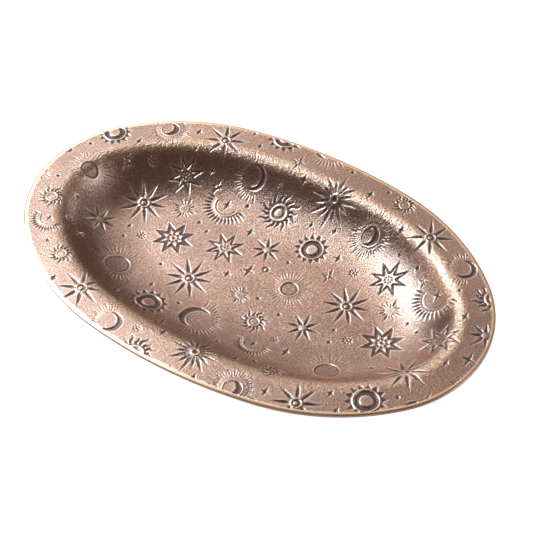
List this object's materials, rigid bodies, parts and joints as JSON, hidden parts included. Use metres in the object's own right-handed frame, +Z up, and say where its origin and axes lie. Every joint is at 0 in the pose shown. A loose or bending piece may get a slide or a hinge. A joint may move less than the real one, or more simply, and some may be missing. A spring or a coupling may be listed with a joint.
{
  "type": "oval trinket dish",
  "caption": "Small oval trinket dish pressed from one aged copper sheet: flat rim round a shallow bowl, with suns, moons and stars pressed into the upper face.",
  "frame": {"origin": "middle of the underside, where it is flat, on the surface that the dish stands on", "axes": "+X along the dish's length, +Y across it, +Z up out of the basin"},
  "size_m": [0.11, 0.0708, 0.0082],
  "materials": {
    "aged_copper": "aged copper, satin and finely grained, with dark patina left in the pressed lines"
  },
  "bodies": {
    "root": {"tray": "aged_copper"}
  },
  "joints": []
}
